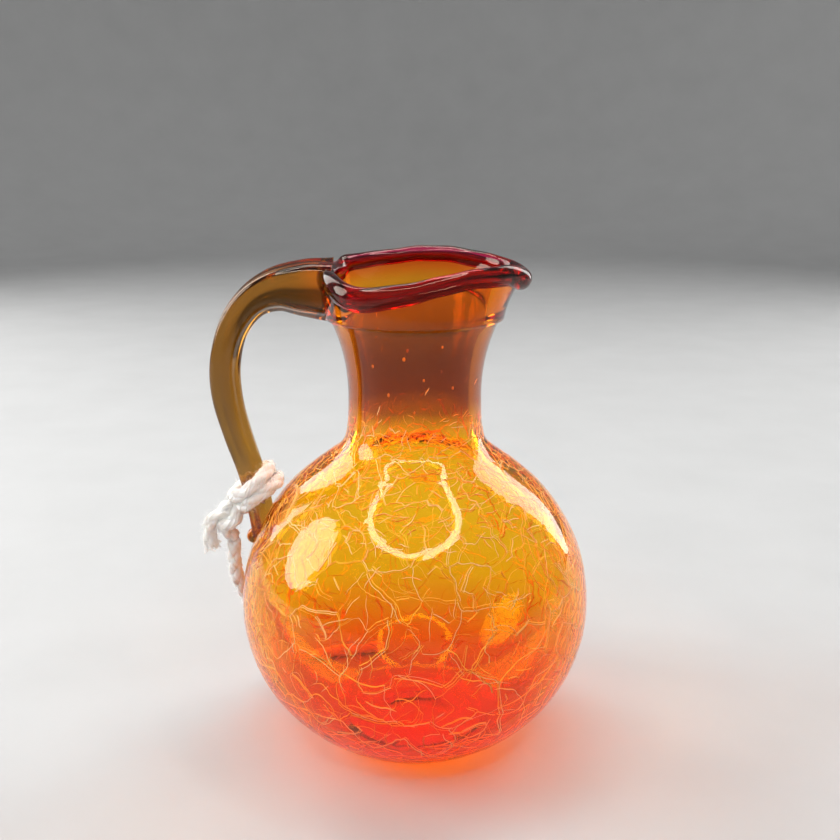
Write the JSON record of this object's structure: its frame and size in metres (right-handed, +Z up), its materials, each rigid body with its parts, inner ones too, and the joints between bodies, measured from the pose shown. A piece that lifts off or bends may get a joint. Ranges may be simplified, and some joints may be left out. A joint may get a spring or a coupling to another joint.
{
  "type": "glass pitcher",
  "caption": "Round-bodied crackle-glass pitcher with a pinched spout, an applied loop handle and a cotton string tied to the handle.",
  "frame": {"origin": "centre of the foot ring, on the surface the pitcher stands on", "axes": "+Z up through the neck; +X toward the spout, with the handle on -X; +Y to the back of the pitcher as pictured"},
  "size_m": [0.0836, 0.0752, 0.1069],
  "materials": {
    "amber_glass": "polished, crackled",
    "ruby_glass": "polished",
    "olive_glass": "polished",
    "cotton_string": "loosely spun"
  },
  "bodies": {
    "root": {"vessel": "amber_glass", "collar": "amber_glass", "ruby_lip": "ruby_glass", "handle": "olive_glass", "string_wraps": "cotton_string", "string_knot": "cotton_string", "string_end": "cotton_string", "string_tail": "cotton_string"}
  },
  "joints": []
}
